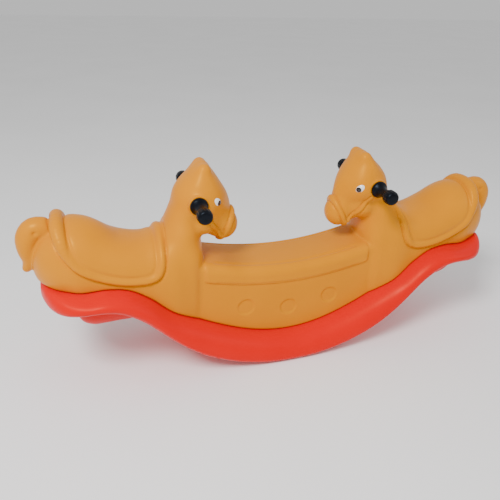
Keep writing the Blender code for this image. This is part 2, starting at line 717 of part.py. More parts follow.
def main():
    clear_scene()
    yellow = make_material("yellow_plastic", YELLOW, 0.38)
    red = make_material("red_plastic", RED, 0.38)
    black = make_material("black_plastic", BLACK, 0.32)
    white = make_material("white_plastic", WHITE, 0.25)
    steel = make_material("steel", STEEL, 0.3, 1.0)
    zinc = make_material("zinc_plated_steel", STEEL, 0.4, 1.0)
    upper_body(yellow)
    rocker_base(red)
    handles(steel, black)
    eyes(white, black)
    fasteners(steel, zinc)


main()
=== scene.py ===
"""Looks of the two-seat rocking seesaw.

Everything is in metres, X along the toy, Y across it, Z up, floor at z = 0. The two
horses mirror each other, so forms are described by u, the distance from the middle.
"""
import math

import bpy
import bmesh
import numpy as np
from mathutils import Matrix, Vector


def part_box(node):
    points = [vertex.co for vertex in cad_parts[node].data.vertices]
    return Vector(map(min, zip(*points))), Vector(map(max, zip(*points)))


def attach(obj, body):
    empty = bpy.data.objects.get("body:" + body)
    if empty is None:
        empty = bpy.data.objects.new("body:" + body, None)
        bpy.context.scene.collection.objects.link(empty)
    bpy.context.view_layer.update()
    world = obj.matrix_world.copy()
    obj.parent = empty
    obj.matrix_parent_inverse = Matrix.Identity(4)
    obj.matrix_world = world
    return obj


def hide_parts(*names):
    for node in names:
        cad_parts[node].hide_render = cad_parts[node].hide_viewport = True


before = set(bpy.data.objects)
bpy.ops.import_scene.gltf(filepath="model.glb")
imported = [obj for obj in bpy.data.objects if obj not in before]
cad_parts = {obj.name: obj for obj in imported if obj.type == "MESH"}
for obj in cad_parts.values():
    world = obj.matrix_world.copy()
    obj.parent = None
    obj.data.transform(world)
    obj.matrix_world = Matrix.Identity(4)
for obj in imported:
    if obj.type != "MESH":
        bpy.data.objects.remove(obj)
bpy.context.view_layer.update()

# ---------------------------------------------------------------- dimensions
CELL = 0.0030               # spacing of the samples that both skins are drawn from
SKIN_X, SKIN_Y, SKIN_Z = 0.728, 0.126, (0.066, 0.616)
BASE_X, BASE_Y, BASE_Z = 0.686, 0.1645, (-0.007, 0.336)
LEAST_SLOPE = 0.35          # a field is never evened out by less than this
LEAST_SLOPE_SQUARED = 0.2   # and vertices are never moved by dividing by less than this
SLOPE_STEP = 0.6            # share of a cell over which a slope is read
FAR = 9.0                   # further than anything on the toy
TINY = 1e-9                 # keeps a division away from nought
TINY_SQUARED = 1e-12
SKIN_ANGLE = 50             # edges that turn by more degrees than this are drawn crisp
PIECE_ANGLE = 40
FLOOR_ANGLE = 60

# The line where the yellow body meets the red base: (distance from the middle, z).
JOINT_LINE = ((-0.10, 0.083), (0.0, 0.070), (0.10, 0.083), (0.20, 0.119), (0.28, 0.160),
              (0.35, 0.207), (0.40, 0.252), (0.45, 0.284), (0.50, 0.293), (0.56, 0.289),
              (0.61, 0.292), (0.66, 0.305), (0.75, 0.320))
JOINT_GAP = 0.0008          # each moulding stops this far from it
JOINT_ROUND = 0.006         # and the yellow one rounds off towards it

# Barrel of the horse: height and half width by distance from the middle.
BARREL_TOP = ((0.28, 0.398), (0.34, 0.401), (0.36, 0.399), (0.40, 0.389), (0.45, 0.396),
              (0.50, 0.418), (0.55, 0.442), (0.60, 0.450), (0.64, 0.442))
BARREL_WIDTH = ((0.28, 0.094), (0.32, 0.102), (0.36, 0.105), (0.45, 0.105), (0.52, 0.102),
                (0.58, 0.095), (0.64, 0.080))
BARREL_RANGE = (0.315, 0.590)
BARREL_BELOW_JOINT = 0.035  # its sections reach this far under the joint line, which cuts them
BARREL_POWER_LOW = 4.0      # squareness of its sections below their middle, and above it
BARREL_POWER_HIGH = 2.3
BARREL_END_BLEND = 0.03
RUMP = ((0.573, 0.0, 0.346), (0.106, 0.096, 0.110))
RUMP_BLEND = 0.02

# Neck and chest: z, then distance from middle, half depth, half width of a level section.
NECK = ((0.06, 0.316, 0.074, 0.088), (0.14, 0.316, 0.074, 0.093), (0.22, 0.316, 0.074, 0.099),
        (0.30, 0.315, 0.073, 0.100), (0.34, 0.311, 0.069, 0.096), (0.38, 0.303, 0.060, 0.086),
        (0.41, 0.2956, 0.054, 0.079), (0.44, 0.2881, 0.0473, 0.067), (0.48, 0.2733, 0.0443, 0.063),
        (0.52, 0.2593, 0.0377, 0.0554), (0.55, 0.2493, 0.0301, 0.0466))
NECK_TOP = 0.545
NECK_TOP_BLEND = 0.02
NECK_BLEND = 0.030
CHEST_TOP = (0.330, 0.400)  # squarer sections below, elliptical ones above
CHEST_POWER = 3.0

# Head: ellipsoids as centre and half sizes, and the blend that joins each one on.
CRANIUM = ((0.243, 0.0, 0.489), (0.0707, 0.0805, 0.0629))
CROWN = ((0.2356, 0.0, 0.531), (0.0352, 0.0563, 0.0500))
CROWN_BLEND = 0.03
JAW = ((0.214, 0.0, 0.441), (0.0575, 0.0400, 0.0625))
JAW_BLEND = 0.035
MUZZLE = ((0.1776, 0.0, 0.4035), (0.0420, 0.0418, 0.0445))
MUZZLE_BLEND = 0.022
JOWL = ((0.240, 0.0, 0.426), (0.054, 0.066, 0.043))
JOWL_BLEND = 0.012
HEAD_BLEND = 0.012
# A crest runs across the top of the head between two blunt ears.
EAR_BASE = (0.2420, 0.0300, 0.5440)
EAR_TIP = (0.2325, 0.0300, 0.5700)
EAR_FLANK = (0.2470, 0.0400, 0.5300)
EAR_RADII = (0.0190, 0.0120, 0.0160)        # at the base, at the tip and low on the flank
EAR_FLANK_BLEND = 0.006
EAR_BLEND = 0.015
CREST_MIDDLE = (0.2310, 0.0, 0.5715)
CREST_BLEND = 0.010

# Round forms along a path: distance, y, z and radius at each point.
TAIL = ((0.600, 0, 0.420, 0.026), (0.632, 0, 0.437, 0.028), (0.660, 0, 0.438, 0.030),
        (0.6765, 0, 0.417, 0.0305), (0.681, 0, 0.387, 0.0265), (0.680, 0, 0.360, 0.0205),
        (0.686, 0, 0.343, 0.0150), (0.693, 0, 0.333, 0.0105))
TAIL_BLEND = 0.006
# The roll across the rear of the saddle, from the middle down to one side.
CANTLE = ((0.603, 0.000, 0.4555, 0.0110), (0.603, 0.030, 0.4515, 0.0110),
          (0.602, 0.054, 0.4370, 0.0105), (0.597, 0.073, 0.4120, 0.0085),
          (0.588, 0.083, 0.3860, 0.0030))
CANTLE_BLEND = 0.010
TAIL_START = 0.56           # the tail and the roll are joined on from here outwards
PATH_STEPS = 3
PATH_BLEND = 0.002
# Dimple in the curl of the tail, on each side.
TAIL_DIMPLE = (0.658, 0.439)
TAIL_DIMPLE_DEPTH = 0.0055
TAIL_DIMPLE_WIDTH = 0.0055
TAIL_DIMPLE_FROM_Y = (0.010, 0.020)

# Boss on each cheek that a grip stands on: (distance, z) of its axis.
HANDLE = (0.258, 0.491)
BOSS_RADIUS = 0.026
BOSS_HALF_WIDTH = 0.0785
BOSS_BLEND = 0.004
BORE_RADIUS = 0.0104

DECK_HALF_WIDTH = 0.0900
DECK_EDGE = 0.024           # radius along the edge of its top
DECK_TOP_MIDDLE = 0.290
DECK_TOP_RISE = 0.55        # its top rises with the square of the distance
DECK_TOP_CROWN = 0.5        # and falls with the square of y
DECK_END = 0.30
DECK_END_BLEND = 0.01
DECK_BLEND = 0.006
PANEL_STEP = 0.0050         # the side panel is set back this far under the lip
PANEL_DROP = 0.004
LIP_DROP = 0.052
LIP_BLEND = 0.005
LIP_END = 0.250
LIP_END_BLEND = 0.012
LIP_PANEL_BLEND = 0.0025
# Channel inside the edge of the top, and the fine line under the lip.
RIM_AT = 0.064
RIM_WIDTH = 0.0050
RIM_DEPTH = 0.0024
RIM_FADE = (0.205, 0.225)
RIM_REACH = (0.020, 0.010)  # above or below the top it has gone by the first, and is whole by the second
LINE_WIDTH = 0.0022
LINE_DEPTH = 0.0022
LINE_FROM_Y = 0.07
# Round dimples in the side panel: (distance, z).
DIMPLES = ((0.0, 0.147), (0.130, 0.167))
DIMPLE_RADIUS = 0.0265
DIMPLE_EDGE = 0.004
DIMPLE_DEPTH = 0.0030
DIMPLE_FROM_Y = 0.05

# Grip: bore, then the outside from the flange to the knob, (radius, distance from the cheek).
GRIP_BORE = ((0.0005, 0.0680), (0.0104, 0.0680), (0.0104, 0.0002))
GRIP_OUTLINE = ((0.0212, 0.0), (0.0234, 0.0009), (0.0240, 0.0030), (0.0236, 0.0062), (0.0222, 0.0092),
                (0.0192, 0.0128), (0.0160, 0.0180), (0.0138, 0.0240), (0.0128, 0.0320), (0.0129, 0.0420),
                (0.0142, 0.0480), (0.0174, 0.0522), (0.0196, 0.0560), (0.0202, 0.0610), (0.0202, 0.0690),
                (0.0196, 0.0740), (0.0178, 0.0787), (0.0146, 0.0816), (0.0090, 0.0828), (0.0008, 0.0830))
GRIP_STEPS = 4
GRIP_SIDES = 96
GRIP_RIBS = 12
RIB_DEPTH = 0.0012
RIB_SHARPNESS = 3
RIB_START = (0.0500, 0.0570)
RIB_STOP = (0.0700, 0.0790)

# Eyes: slanted ovals, lowest towards the nose, with a round pupil at that end.
EYE_FACING = (0.40, 0.90, 0.10)
EYE_SLANT = 42
EYE_HALF_LENGTH = 0.0140
EYE_HALF_WIDTH = 0.0094
EYE_DOME = 0.0036
EYE_SINK = 0.0007
EYE_ROOT = 0.0030
EYE_RINGS = 11
EYE_SIDES = 40
EYE_MIDDLE = 0.02           # size of the innermost ring, as a share
PUPIL_SIZES = (0.0074, 0.0076)
PUPIL_SHIFT = 0.0050
PUPIL_RISE = 0.0009

# Halter moulded on the head, in the side view.
NOSEBAND_AT = (0.1705, 0.4060)
NOSEBAND_FACING = (-0.894, -0.447)
NOSEBAND_HALF_WIDTH = 0.0078
NOSEBAND_HEIGHT = 0.0050
NOSEBAND_FADE = (0.056, 0.066)
CHEEK_STRAP = ((0.193, 0.384), (0.242, 0.464))
STRAP_HALF_WIDTH = 0.0056
STRAP_HEIGHT = 0.0036
STRAP_FROM_Y = (0.016, 0.026)
KNOT_AT = (0.1925, 0.3815)
KNOT_RADIUS = 0.0090
KNOT_HEIGHT = 0.0035
KNOT_FROM_Y = (0.010, 0.020)
BAND_POWER = 2.6            # squareness of a band's section
GROOVE_DEPTH = 0.0024
GROOVE_WIDTH = 0.0024

# Saddle, in the side view: a pad inside a raised bead, with a groove on each side of the bead.
SADDLE = ((0.346, 0.520), (0.347, 0.440), (0.350, 0.375), (0.355, 0.338), (0.370, 0.311),
          (0.395, 0.300), (0.430, 0.299), (0.470, 0.305), (0.510, 0.318), (0.545, 0.335),
          (0.575, 0.358), (0.600, 0.392), (0.615, 0.430), (0.624, 0.475), (0.628, 0.520))
SADDLE_FRONT = (0.325, 0.337)
REAR_DISTANCE = (0.54, 0.60)    # the bead grows to its largest over these
REAR_HEIGHT = (0.36, 0.43)
BEAD_WIDTH = 0.024
BEAD_WIDTH_REAR = 0.012         # more of it at the rear
BEAD_HEIGHT = 0.0085
BEAD_HEIGHT_REAR = 0.0035
BEAD_LEAN = 0.72
BEAD_ROUNDNESS = 0.8
PAD_HEIGHT = 0.0045
PAD_EDGE = 0.010
OUTER_GROOVE_DEPTH = 0.0034
OUTER_GROOVE_AT = 0.0020        # outside the outline
OUTER_GROOVE_WIDTH = 0.0032
INNER_GROOVE_DEPTH = 0.0022
INNER_GROOVE_WIDTH = 0.0040

# Underside of the red base: half of a flat land, an arc that rolls, then the line of the wing.
ROLL_LAND = 0.018
ROLL_RADIUS = 0.49
ROLL_END = 0.26             # the arc is worked out no further than this
WING_START = 0.24           # the wing's line is followed from here
WING_LINE = ((0.22, 0.0436), (0.26, 0.0639), (0.32, 0.108), (0.38, 0.161), (0.43, 0.207), (0.48, 0.238),
             (0.53, 0.247), (0.58, 0.242), (0.62, 0.238), (0.65, 0.241), (0.68, 0.252))
WING_BLEND = (0.30, 0.42)   # the sections change from middle to wing between these
BASE_HALF_WIDTH = 0.158
BASE_REACH = 0.669
BASE_TAPER = (0.48, 3.1)    # the wings draw in from here, and the power that they do it with
BULGE_LEVEL = 0.24          # height of the widest line as a share of the section
BULGE_LEVEL_WING = 0.22     # more of it at the wing
END_ROUND = 0.042           # the tips round off over this length
END_SQUEEZE = 0.88
LEAST_ROUND = 0.004
SEAT_HALF_WIDTH = 0.095
SEAT_SHARE = 0.72
FOOT_ROUND = 0.024          # the underside rounds up over this width
FOOT_ROUND_WING = 0.020     # more of it at the wing
FOOT_SHARE = 0.8
# Stop keel under each wing: (distance, lowest z).
KEEL = ((0.390, 0.190), (0.410, 0.166), (0.440, 0.149), (0.480, 0.146), (0.520, 0.144), (0.550, 0.145),
        (0.575, 0.160), (0.600, 0.205))
KEEL_RANGE = (0.390, 0.594)
KEEL_HALF_WIDTH = 0.060
KEEL_TOP = 0.255            # its sections are measured down from here
KEEL_CEILING = 0.262
KEEL_POWER = 2.6
KEEL_SCALE = 0.05
KEEL_END_BLEND = 0.02
KEEL_BLEND = 0.012
# Pockets from below for the bolts: (distance, y).
BOLTS = ((0.0, 0.045), (0.495, 0.0), (0.565, 0.0))
POCKET_RADIUS = 0.0145
POCKET_CEILING = 0.0050     # the washers bear this far under the joint line
POCKET_BLEND = 0.003


# ---------------------------------------------------------------- numbers and curves
def curve_at(points, t):
    """Smooth curve through (t, value, ...) points, read at an array of t."""
    table = np.array(points, dtype=np.float64)
    knots = table[:, 0]
    values = table[:, 1]
    slopes = np.gradient(values, knots)
    t = np.clip(t, knots[0], knots[-1])
    i = np.clip(np.searchsorted(knots, t, side="right") - 1, 0, len(knots) - 2)
    span = knots[i + 1] - knots[i]
    s = (t - knots[i]) / span
    rise = s * s * (3 - 2 * s)
    ease_in = s * (1 - s) ** 2 * span * slopes[i]
    ease_out = s * s * (s - 1) * span * slopes[i + 1]
    return values[i] * (1 - rise) + values[i + 1] * rise + ease_in + ease_out


def column(points, number):
    """(t, value) points from one column of a table."""
    return tuple((row[0], row[number]) for row in points)


def smoothstep(low, high, t):
    """0 up to low and 1 from high; low may be the greater."""
    s = np.clip((t - low) / (high - low), 0, 1)
    return s * s * (3 - 2 * s)


def blend_union(a, b, radius):
    h = np.clip(0.5 + 0.5 * (b - a) / radius, 0, 1)
    return b * (1 - h) + a * h - radius * h * (1 - h)


def blend_cut(a, b, radius):
    return -blend_union(-a, -b, radius)


def ellipsoid(u, y, z, centre, sizes):
    """Signed distance, near enough, to an ellipsoid."""
    du = (u - centre[0]) / sizes[0]
    dy = (y - centre[1]) / sizes[1]
    dz = (z - centre[2]) / sizes[2]
    inner = np.sqrt(du * du + dy * dy + dz * dz) + TINY
    outer = np.sqrt((du / sizes[0]) ** 2 + (dy / sizes[1]) ** 2 + (dz / sizes[2]) ** 2) + TINY
    return inner * (inner - 1) / outer


def capsule(u, y, z, start, end, radius_start, radius_end):
    """Signed distance to a round cone between two points."""
    along = np.subtract(end, start)
    length_squared = float(along @ along)
    pu, py, pz = u - start[0], y - start[1], z - start[2]
    t = np.clip((pu * along[0] + py * along[1] + pz * along[2]) / length_squared, 0, 1)
    away = np.sqrt((pu - t * along[0]) ** 2 + (py - t * along[1]) ** 2 + (pz - t * along[2]) ** 2)
    return away - (radius_start + (radius_end - radius_start) * t)


def outline_distance(u, z, outline):
    """Signed distance in the side view to a closed outline, positive inside."""
    points = smooth_outline(outline)
    best = np.full(np.broadcast(u, z).shape, FAR)
    inside = np.zeros(best.shape, dtype=bool)
    for (u0, z0), (u1, z1) in zip(points, points[1:] + points[:1]):
        du, dz = u1 - u0, z1 - z0
        t = np.clip(((u - u0) * du + (z - z0) * dz) / (du * du + dz * dz + TINY_SQUARED), 0, 1)
        best = np.minimum(best, np.hypot(u - u0 - t * du, z - z0 - t * dz))
        crosses = (z0 > z) != (z1 > z)
        where = u0 + du * (z - z0) / (dz if abs(dz) > TINY else TINY)
        inside ^= crosses & (u < where)
    return np.where(inside, best, -best)


def smooth_outline(outline, steps=6):
    """Catmull-Rom points through an open outline."""
    result = []
    last = len(outline) - 1
    for i in range(last):
        p0 = np.array(outline[max(i - 1, 0)])
        p1 = np.array(outline[i])
        p2 = np.array(outline[i + 1])
        p3 = np.array(outline[min(i + 2, last)])
        for k in range(steps):
            t = k / steps
            point = 0.5 * (2 * p1 + (p2 - p0) * t + (2 * p0 - 5 * p1 + 4 * p2 - p3) * t * t
                           + (3 * p1 - p0 - 3 * p2 + p3) * t ** 3)
            result.append(tuple(float(value) for value in point))
    result.append(outline[-1])
    return result


# ---------------------------------------------------------------- the red base as a field
def underside(u):
    reach = np.clip(u - ROLL_LAND, 0, ROLL_END)
    arc = ROLL_RADIUS - np.sqrt(ROLL_RADIUS ** 2 - reach ** 2)
    return np.where(u < WING_START, arc, curve_at(WING_LINE, u))


def base_width(u):
    reach = np.clip((u - BASE_TAPER[0]) / (BASE_REACH - BASE_TAPER[0]), 0, 1)
    return BASE_HALF_WIDTH * np.sqrt(np.clip(1 - reach ** BASE_TAPER[1], 0, 1))


def round_side(y, z, edge, width, level, tall):
    """Quarter ellipse from a flat at the edge out to the width, at a level."""
    run = np.maximum(width - edge, LEAST_ROUND)
    dy = np.maximum(y - edge, 0) / run
    dz = np.maximum((z - level) / tall, 0)
    inner = np.sqrt(dy * dy + dz * dz) + TINY
    outer = np.sqrt((dy / run) ** 2 + (dz / tall) ** 2) + TINY
    return inner * (inner - 1) / outer


def sample_places(reach_x, reach_y, range_z):
    """Places of the samples of one quarter: u and y from 0, and z over its range."""
    u = np.arange(int(round(reach_x / CELL)) + 1) * CELL
    y = np.arange(int(round(reach_y / CELL)) + 1) * CELL
    z = range_z[0] + np.arange(int(round((range_z[1] - range_z[0]) / CELL)) + 1) * CELL
    return u[:, None, None], y[None, :, None], z[None, None, :]


def base_field():
    """Field of one quarter of the red base, negative inside."""
    u, y, z = sample_places(BASE_X, BASE_Y, BASE_Z)
    top = curve_at(JOINT_LINE, u) - JOINT_GAP
    low = underside(u)
    width = base_width(u)
    wing = smoothstep(*WING_BLEND, u)
    level = low + (top - low) * (BULGE_LEVEL + BULGE_LEVEL_WING * wing)
    tip = np.clip((u - BASE_REACH + END_ROUND) / END_ROUND, 0, 1)
    squeeze = np.sqrt(1 - END_SQUEEZE * tip ** 2)
    top = level + (top - level) * squeeze
    low = level - (level - low) * squeeze
    seat = np.minimum(SEAT_HALF_WIDTH, width * SEAT_SHARE)
    foot = width - (FOOT_ROUND + FOOT_ROUND_WING * wing)
    upper = round_side(y, z, seat, width, level, top - level)
    lower = round_side(y, -z, np.minimum(foot, width * FOOT_SHARE), width, -level, level - low)
    side = y - width
    above = np.where(y > seat, upper, z - top)
    below = np.where(y > foot, lower, low - z)
    form = np.where(z > level, above, below)
    form = np.maximum(form, side)
    form = normalised(blend_union(form, base_keel(u, y, z), KEEL_BLEND))
    for bolt_u, bolt_y in BOLTS:
        ring = np.hypot(u - bolt_u, y - bolt_y)
        ceiling = curve_at(JOINT_LINE, np.array([bolt_u]))[0] - POCKET_CEILING
        pocket = np.maximum(ring - POCKET_RADIUS, z - ceiling)
        form = blend_cut(form, -pocket, POCKET_BLEND)
    return form


def base_keel(u, y, z):
    low = curve_at(KEEL, u)
    dy = y / KEEL_HALF_WIDTH
    dz = np.maximum(KEEL_TOP - z, 0) / (KEEL_TOP - low)
    inner = (dy ** KEEL_POWER + dz ** KEEL_POWER) ** (1 / KEEL_POWER) + TINY
    form = (inner - 1) * KEEL_SCALE
    form = np.maximum(form, z - KEEL_CEILING)
    return blend_cut(form, np.maximum(KEEL_RANGE[0] - u, u - KEEL_RANGE[1]), KEEL_END_BLEND)


# ---------------------------------------------------------------- the yellow skin as a field
def barrel(u, y, z):
    top = curve_at(BARREL_TOP, u)
    width = curve_at(BARREL_WIDTH, u)
    low = curve_at(JOINT_LINE, u) - BARREL_BELOW_JOINT
    middle = (top + low) / 2
    tall = (top - low) / 2
    power = np.where(z > middle, BARREL_POWER_HIGH, BARREL_POWER_LOW)
    spread = ((np.abs(y) / width) ** power + (np.abs(z - middle) / tall) ** power) ** (1 / power)
    side = (spread - 1) * np.minimum(width, tall)
    return blend_cut(side, np.maximum(BARREL_RANGE[0] - u, u - BARREL_RANGE[1]), BARREL_END_BLEND)


def neck(u, y, z):
    centre = curve_at(column(NECK, 1), z)
    depth = curve_at(column(NECK, 2), z)
    width = curve_at(column(NECK, 3), z)
    du = np.abs(u - centre) / depth
    dy = np.abs(y) / width
    power = CHEST_POWER - smoothstep(*CHEST_TOP, z)
    inner = (du ** power + dy ** power) ** (1 / power) + TINY
    outer = np.sqrt((du / depth) ** 2 + (dy / width) ** 2) / (np.hypot(du, dy) + TINY) + TINY
    return blend_cut((inner - 1) / outer, z - NECK_TOP, NECK_TOP_BLEND)


def head(u, y, z):
    form = ellipsoid(u, y, z, *CRANIUM)
    for part, blend in ((CROWN, CROWN_BLEND), (JAW, JAW_BLEND), (MUZZLE, MUZZLE_BLEND), (JOWL, JOWL_BLEND)):
        form = blend_union(form, ellipsoid(u, y, z, *part), blend)
    base, tip, low = EAR_RADII
    ear = capsule(u, y, z, EAR_BASE, EAR_TIP, base, tip)
    ear = blend_union(ear, capsule(u, y, z, EAR_FLANK, EAR_TIP, low, tip), EAR_FLANK_BLEND)
    crest = capsule(u, y, z, CREST_MIDDLE, EAR_TIP, tip, tip)
    return blend_union(form, blend_union(ear, crest, CREST_BLEND), EAR_BLEND)


def round_path(u, y, z, points):
    """A round form of changing thickness along a curved path."""
    form = None
    path = smooth_outline(points, PATH_STEPS)
    for (u0, y0, z0, r0), (u1, y1, z1, r1) in zip(path, path[1:]):
        piece = capsule(u, y, z, (u0, y0, z0), (u1, y1, z1), r0, r1)
        form = piece if form is None else blend_union(form, piece, PATH_BLEND)
    return form


def deck(u, y, z):
    top = DECK_TOP_MIDDLE + DECK_TOP_RISE * u * u - DECK_TOP_CROWN * y * y
    side = y - DECK_HALF_WIDTH + DECK_EDGE
    roof = z - top + DECK_EDGE
    corner = np.hypot(np.maximum(side, 0), np.maximum(roof, 0)) + np.minimum(np.maximum(side, roof), 0)
    lip = corner - DECK_EDGE
    lip = blend_cut(lip, (top - LIP_DROP) - z, LIP_BLEND)
    lip = blend_cut(lip, u - LIP_END, LIP_END_BLEND)
    core = np.maximum(y - (DECK_HALF_WIDTH - PANEL_STEP), corner - DECK_EDGE + PANEL_DROP)
    core = blend_cut(core, u - DECK_END, DECK_END_BLEND)
    return blend_union(lip, core, LIP_PANEL_BLEND)


def saddle(u, z):
    """The pad, the raised bead round it and the groove along each side of the bead."""
    inside = outline_distance(u, z, SADDLE)
    rear = smoothstep(*REAR_DISTANCE, u) * smoothstep(*REAR_HEIGHT, z)
    bead_width = BEAD_WIDTH + BEAD_WIDTH_REAR * rear
    bead_height = BEAD_HEIGHT + BEAD_HEIGHT_REAR * rear
    across = np.clip(inside / bead_width, 0, 1)
    bead = np.sin(np.pi * across ** BEAD_LEAN) ** BEAD_ROUNDNESS * bead_height
    pad = PAD_HEIGHT * smoothstep(0.0, PAD_EDGE, inside)
    groove = -OUTER_GROOVE_DEPTH * np.exp(-((inside + OUTER_GROOVE_AT) / OUTER_GROOVE_WIDTH) ** 2)
    inner_groove = -INNER_GROOVE_DEPTH * np.exp(-((inside - bead_width) / INNER_GROOVE_WIDTH) ** 2)
    raised = np.maximum(bead, pad) + groove + inner_groove
    return raised * smoothstep(*SADDLE_FRONT, u)


def relief(u, y, z):
    """Raised and sunk detail moulded into the skin at points, in metres outwards."""
    total = saddle(u, z)
    for du, dz in DIMPLES:
        ring = np.hypot(u - du, z - dz)
        sunk = -DIMPLE_DEPTH * (1 - smoothstep(DIMPLE_RADIUS - DIMPLE_EDGE, DIMPLE_RADIUS, ring))
        total = total + sunk * (y > DIMPLE_FROM_Y)
    return total + halter(u, y, z) + deck_rim(u, y, z) + tail_dimple(u, y, z)


def deck_rim(u, y, z):
    """Channel inside the rounded edge of the deck, and the crisp line under its lip."""
    top = DECK_TOP_MIDDLE + DECK_TOP_RISE * u * u
    middle = 1 - smoothstep(*RIM_FADE, u)
    on_top = smoothstep(*RIM_REACH, np.abs(z - top)) * middle
    channel = -RIM_DEPTH * np.exp(-((y - RIM_AT) / RIM_WIDTH) ** 2) * on_top
    under = np.exp(-((z - top + LIP_DROP) / LINE_WIDTH) ** 2) * (y > LINE_FROM_Y) * middle
    return channel - LINE_DEPTH * under


def tail_dimple(u, y, z):
    near = np.hypot(u - TAIL_DIMPLE[0], z - TAIL_DIMPLE[1])
    depth = TAIL_DIMPLE_DEPTH * np.exp(-(near / TAIL_DIMPLE_WIDTH) ** 2)
    return -depth * smoothstep(*TAIL_DIMPLE_FROM_Y, y)


def rounded_band(distance, half_width, height):
    """Raised strip with round edges, and a fine groove along each side of it."""
    across = np.abs(distance) / half_width
    strip = np.sqrt(np.clip(1 - across ** BAND_POWER, 0, 1)) * height
    outside = np.abs(distance) - half_width - GROOVE_WIDTH / 2
    return strip - GROOVE_DEPTH * np.exp(-(outside / GROOVE_WIDTH) ** 2)


def halter(u, y, z):
    """Noseband round the muzzle, a strap along each cheek and the knot where they meet."""
    across = (u - NOSEBAND_AT[0]) * NOSEBAND_FACING[0] + (z - NOSEBAND_AT[1]) * NOSEBAND_FACING[1]
    near = np.hypot(u - NOSEBAND_AT[0], z - NOSEBAND_AT[1])
    noseband = rounded_band(across, NOSEBAND_HALF_WIDTH, NOSEBAND_HEIGHT)
    noseband = noseband * (1 - smoothstep(*NOSEBAND_FADE, near))
    cheek = segment_distance(u, z, *CHEEK_STRAP)
    strap = rounded_band(cheek, STRAP_HALF_WIDTH, STRAP_HEIGHT) * smoothstep(*STRAP_FROM_Y, y)
    knot = KNOT_HEIGHT * np.exp(-(np.hypot(u - KNOT_AT[0], z - KNOT_AT[1]) / KNOT_RADIUS) ** 2)
    bands = np.where(np.abs(noseband) > np.abs(strap), noseband, strap)
    return bands + knot * smoothstep(*KNOT_FROM_Y, y)


def segment_distance(u, z, start, end):
    du, dz = end[0] - start[0], end[1] - start[1]
    t = np.clip(((u - start[0]) * du + (z - start[1]) * dz) / (du * du + dz * dz), 0, 1)
    return np.hypot(u - start[0] - t * du, z - start[1] - t * dz)


def normalised(form):
    """Divides a field by its own slope, so that it reads as a distance."""
    slopes = np.gradient(form, CELL)
    steep = np.sqrt(sum(slope * slope for slope in slopes))
    return form / np.maximum(steep, LEAST_SLOPE)


def skin_field():
    """Field of one quarter of the body: u and y from 0, negative inside."""
    u, y, z = sample_places(SKIN_X, SKIN_Y, SKIN_Z)
    form = blend_union(barrel(u, y, z), ellipsoid(u, y, z, *RUMP), RUMP_BLEND)
    form = blend_union(form, neck(u, y, z), NECK_BLEND)
    form = blend_union(form, head(u, y, z), HEAD_BLEND)
    start = int(round(TAIL_START / CELL))
    for path, blend in ((TAIL, TAIL_BLEND), (CANTLE, CANTLE_BLEND)):
        form[start:] = blend_union(form[start:], round_path(u[start:], y, z, path), blend)
    form = blend_union(form, deck(u, y, z), DECK_BLEND)
    form = normalised(form)
    ring = np.hypot(u - HANDLE[0], z - HANDLE[1])
    boss = np.maximum(ring - BOSS_RADIUS, y - BOSS_HALF_WIDTH)
    form = blend_union(form, boss, BOSS_BLEND)
    form = blend_cut(form, curve_at(JOINT_LINE, u) + JOINT_GAP - z, JOINT_ROUND)
    form = np.maximum(form, np.minimum(BOSS_RADIUS - ring, y - BOSS_HALF_WIDTH))
    return np.maximum(form, BORE_RADIUS - ring)


def whole(quarter):
    """Mirrors a quarter to both sides and both ends."""
    half = np.concatenate((quarter[:0:-1], quarter), axis=0)
    return np.concatenate((half[:, :0:-1], half), axis=1)


def surface_net(field, origin, cell):
    """Quads on the zero level of a sampled field: vertices in metres, and faces."""
    inside = field < 0
    shape = tuple(n - 1 for n in field.shape)
    corners = [(i, j, k) for i in (0, 1) for j in (0, 1) for k in (0, 1)]
    filled = np.zeros(shape, dtype=np.uint8)
    for i, j, k in corners:
        filled += inside[i:i + shape[0], j:j + shape[1], k:k + shape[2]]
    cells = np.argwhere((filled > 0) & (filled < 8))
    values = {c: field[cells[:, 0] + c[0], cells[:, 1] + c[1], cells[:, 2] + c[2]] for c in corners}
    place = np.zeros((len(cells), 3))
    count = np.zeros(len(cells))
    for start in corners:
        for axis in range(3):
            if start[axis]:
                continue
            end = tuple(1 if n == axis else start[n] for n in range(3))
            a, b = values[start], values[end]
            cross = (a < 0) != (b < 0)
            t = np.where(cross, a / np.where(cross, a - b, 1), 0)
            for n in range(3):
                place[:, n] += cross * (start[n] + (t if n == axis else 0))
            count += cross
    vertices = (cells + place / count[:, None]) * cell + origin
    number = np.full(shape, -1, dtype=np.int64)
    number[tuple(cells.T)] = np.arange(len(cells))
    faces = []
    for axis in range(3):
        size = [n - 1 if a == axis else n for a, n in enumerate(field.shape)]
        low = inside[tuple(slice(0, n) for n in size)]
        high = inside[tuple(slice(1, n + 1) if a == axis else slice(0, n) for a, n in enumerate(size))]
        edges = np.argwhere(low != high)
        first, second = [a for a in range(3) if a != axis]
        keep = np.ones(len(edges), dtype=bool)
        for a in (first, second):
            keep &= (edges[:, a] > 0) & (edges[:, a] < shape[a])
        edges = edges[keep]
        ring = []
        for d1, d2 in ((-1, -1), (0, -1), (0, 0), (-1, 0)):
            at = edges.copy()
            at[:, first] += d1
            at[:, second] += d2
            ring.append(number[tuple(at.T)])
        quads = np.stack(ring, axis=1)
        outwards = low[tuple(edges.T)]
        if axis == 1:
            outwards = ~outwards
        quads[~outwards] = quads[~outwards][:, ::-1]
        faces.append(quads)
    return vertices, np.concatenate(faces)


